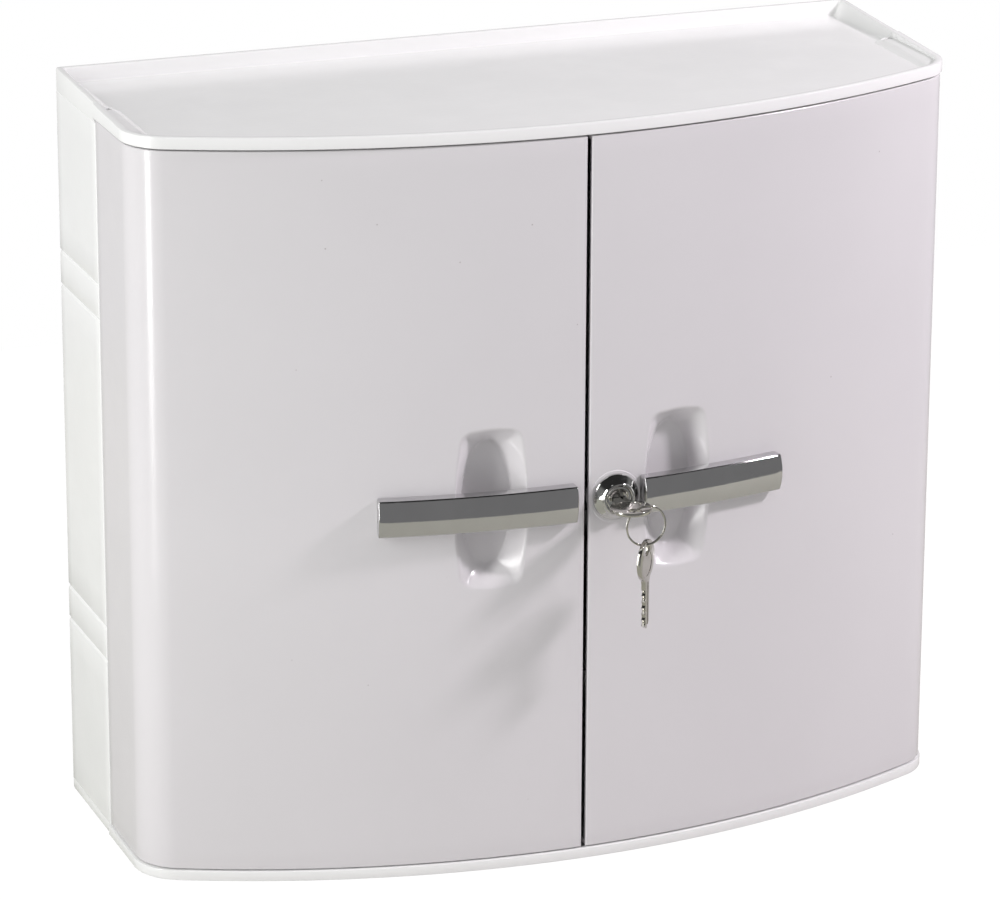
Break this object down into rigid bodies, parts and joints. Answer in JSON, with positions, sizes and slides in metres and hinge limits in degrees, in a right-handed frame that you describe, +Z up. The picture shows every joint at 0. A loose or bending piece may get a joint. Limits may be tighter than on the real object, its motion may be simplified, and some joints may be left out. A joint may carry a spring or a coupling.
{
  "type": "lockable medicine cabinet",
  "caption": "Bow-front white plastic wall cabinet with shelves, hinged doors with bar handles over finger recesses, and a key-operated cam lock.",
  "frame": {"origin": "centre of the wall face, on the back of the back panel", "axes": "+Z up, +X to the right of a person who faces the doors, +Y into the wall"},
  "size_m": [0.434, 0.2144, 0.388],
  "materials": {
    "case_plastic": "glossy white moulded plastic",
    "door_plastic": "high-gloss white moulded plastic",
    "handle_chrome": "polished chrome",
    "lock_chrome": "polished chrome",
    "key_nickel": "polished nickel plate",
    "fixing_steel": "zinc-plated steel",
    "magnet_block": "dark plastic housing with a magnet"
  },
  "bodies": {
    "case": {"back_panel": "case_plastic", "left_side_panel": "case_plastic", "right_side_panel": "case_plastic", "top_tray": "case_plastic", "bottom_tray": "case_plastic", "middle_shelf": "case_plastic", "lower_shelf": "case_plastic", "case_screws": "fixing_steel", "upper_left_pin": "fixing_steel", "lower_left_pin": "fixing_steel", "upper_right_pin": "fixing_steel", "lower_right_pin": "fixing_steel", "door_magnets": "magnet_block", "lock_strike": "fixing_steel", "strike_screws": "fixing_steel"},
    "left_door": {"left_door": "door_plastic", "left_handle": "handle_chrome", "left_handle_screws": "fixing_steel", "left_door_hook": "fixing_steel", "left_catch_plate": "fixing_steel"},
    "right_door": {"right_door": "door_plastic", "right_handle": "handle_chrome", "right_handle_screws": "fixing_steel", "right_catch_plate": "fixing_steel", "lock_housing": "lock_chrome", "lock_nut": "fixing_steel"},
    "lock_plug": {"lock_plug": "lock_chrome", "lock_cam": "fixing_steel", "cam_screw": "fixing_steel"},
    "key": {"key": "key_nickel"},
    "key_ring": {"key_ring": "key_nickel"},
    "spare_key": {"spare_key": "key_nickel"}
  },
  "joints": [
    {"name": "left_door_hinge", "type": "hinge", "parent": "case", "child": "left_door", "pos_m": [-0.2105, -0.0814, 0], "axis": [0, 0, 1], "range_deg": [-110, 0]},
    {"name": "right_door_hinge", "type": "hinge", "parent": "case", "child": "right_door", "pos_m": [0.2105, -0.0814, 0], "axis": [0, 0, 1], "range_deg": [0, 110]},
    {"name": "lock_turn", "type": "hinge", "parent": "right_door", "child": "lock_plug", "pos_m": [0.015, -0.18, -0.002], "axis": [0, -1, 0], "range_deg": [0, 90]},
    {"name": "key_pull", "type": "slide", "parent": "lock_plug", "child": "key", "axis": [0, -1, 0], "range_m": [0, 0.03]},
    {"name": "ring_swing", "type": "hinge", "parent": "key", "child": "key_ring", "pos_m": [0.02107, -0.2059, -0.002], "axis": [1, 0, 0], "range_deg": [-30, 6]},
    {"name": "spare_key_swing", "type": "hinge", "parent": "key_ring", "child": "spare_key", "pos_m": [0.02107, -0.2059, -0.01996], "axis": [1, 0, 0], "range_deg": [-40, 6]}
  ]
}
